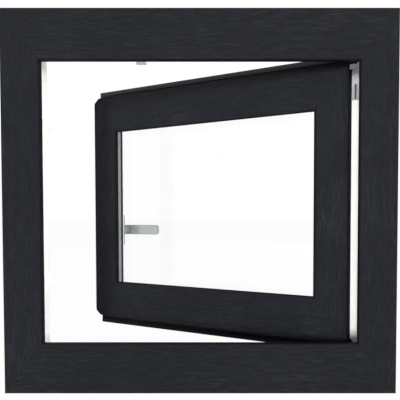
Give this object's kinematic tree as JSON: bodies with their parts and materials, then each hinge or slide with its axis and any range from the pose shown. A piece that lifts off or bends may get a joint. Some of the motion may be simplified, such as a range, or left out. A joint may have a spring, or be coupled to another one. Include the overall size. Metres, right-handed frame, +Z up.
{
  "type": "tilt and turn window",
  "caption": "Small double-glazed tilt-and-turn window: dark wood-grain foil outside, white inside, sash swung inwards on its right-hand hinges, lever handle.",
  "frame": {"origin": "middle of the frame's underside, halfway through the frame's depth", "axes": "+X along the sill to the hinge side, +Y from outdoors into the room, +Z up"},
  "size_m": [0.514, 0.2468, 0.5],
  "materials": {
    "foiled_pvc": "anthracite wood-grain foil on the outdoor faces, white core indoors",
    "white_pvc": "smooth white",
    "epdm": "matt black seal",
    "galvanised_steel": "galvanised sheet",
    "plated_steel": "zinc-plated",
    "zinc_fitting": "satin die-cast and pressed fittings",
    "silver_handle": "satin silver lacquer",
    "spacer_aluminium": "mill finish with fine perforation",
    "clear_glass": "clear float glass",
    "black_plastic": "moulded"
  },
  "bodies": {
    "frame": {"corner_bracket": "zinc_fitting", "corner_bracket_pin": "plated_steel", "frame_gasket": "epdm", "frame_head": "foiled_pvc", "frame_sill": "foiled_pvc", "frame_steel_head": "galvanised_steel", "frame_steel_hinge": "galvanised_steel", "frame_steel_lock": "galvanised_steel", "frame_steel_sill": "galvanised_steel", "frame_stile_hinge": "foiled_pvc", "frame_stile_lock": "foiled_pvc", "stay_bearing": "zinc_fitting", "stay_bearing_pin": "plated_steel", "striker_head": "zinc_fitting", "striker_lower": "zinc_fitting", "striker_upper": "zinc_fitting"},
    "corner_hinge": {"corner_arm": "zinc_fitting", "tilt_pin": "plated_steel"},
    "sash": {"bead_head": "white_pvc", "bead_hinge": "white_pvc", "bead_lock": "white_pvc", "bead_sill": "white_pvc", "centre_seal": "epdm", "corner_drive": "zinc_fitting", "edge_seal": "epdm", "gear_case": "zinc_fitting", "glazing_gasket_inner": "epdm", "glazing_gasket_outer": "epdm", "handle_rose": "silver_handle", "head_face_plate": "zinc_fitting", "lock_face_plate": "zinc_fitting", "pane_inner": "clear_glass", "pane_outer": "clear_glass", "rose_screw_lower": "plated_steel", "rose_screw_upper": "plated_steel", "sash_gasket": "epdm", "sash_head": "foiled_pvc", "sash_hinge": "zinc_fitting", "sash_sill": "foiled_pvc", "sash_steel_head": "galvanised_steel", "sash_steel_hinge": "galvanised_steel", "sash_steel_lock": "galvanised_steel", "sash_steel_sill": "galvanised_steel", "sash_stile_hinge": "foiled_pvc", "sash_stile_lock": "foiled_pvc", "setting_block_hinge": "black_plastic", "setting_block_lock": "black_plastic", "spacer_frame": "spacer_aluminium"},
    "stay_arm": {"stay_arm": "zinc_fitting", "stay_stud": "plated_steel"},
    "handle": {"handle_lever": "silver_handle", "handle_spindle": "plated_steel", "drive_pinion": "plated_steel"},
    "drive_rod": {"drive_rod": "plated_steel", "cam_lower": "plated_steel", "cam_upper": "plated_steel"},
    "head_rod": {"head_rod": "plated_steel", "cam_head": "plated_steel"}
  },
  "joints": [
    {"name": "sash_turn", "type": "hinge", "parent": "frame", "child": "corner_hinge", "pos_m": [0.2421, 0.033, 0.25], "axis": [0, 0, -1], "range_deg": [-19, 76]},
    {"name": "sash_tilt", "type": "hinge", "parent": "corner_hinge", "child": "sash", "pos_m": [0.2421, 0.033, 0.0235], "axis": [-0.9455, 0.3256, 0], "range_deg": [0, 7]},
    {"name": "stay_swing", "type": "hinge", "parent": "corner_hinge", "child": "stay_arm", "pos_m": [0.2421, 0.033, 0.4395], "axis": [0, 0, -1], "range_deg": [0, 15]},
    {"name": "handle_turn", "type": "hinge", "parent": "sash", "child": "handle", "pos_m": [-0.17525, 0.18569, 0.208], "axis": [0.3256, 0.9455, 0], "range_deg": [-90, 90]},
    {"name": "drive_rod_slide", "type": "slide", "parent": "sash", "child": "drive_rod", "axis": [0, 0, 1], "range_m": [-0.0124, 0.0124]},
    {"name": "head_rod_slide", "type": "slide", "parent": "sash", "child": "head_rod", "axis": [0.9455, -0.3256, 0], "range_m": [-0.0124, 0.0124]}
  ],
  "couplings": [
    {"joint": "stay_swing", "follows": "sash_tilt", "ratio": 2.1},
    {"joint": "drive_rod_slide", "follows": "handle_turn", "m_per_rad": 0.0076},
    {"joint": "head_rod_slide", "follows": "handle_turn", "m_per_rad": 0.0076}
  ]
}
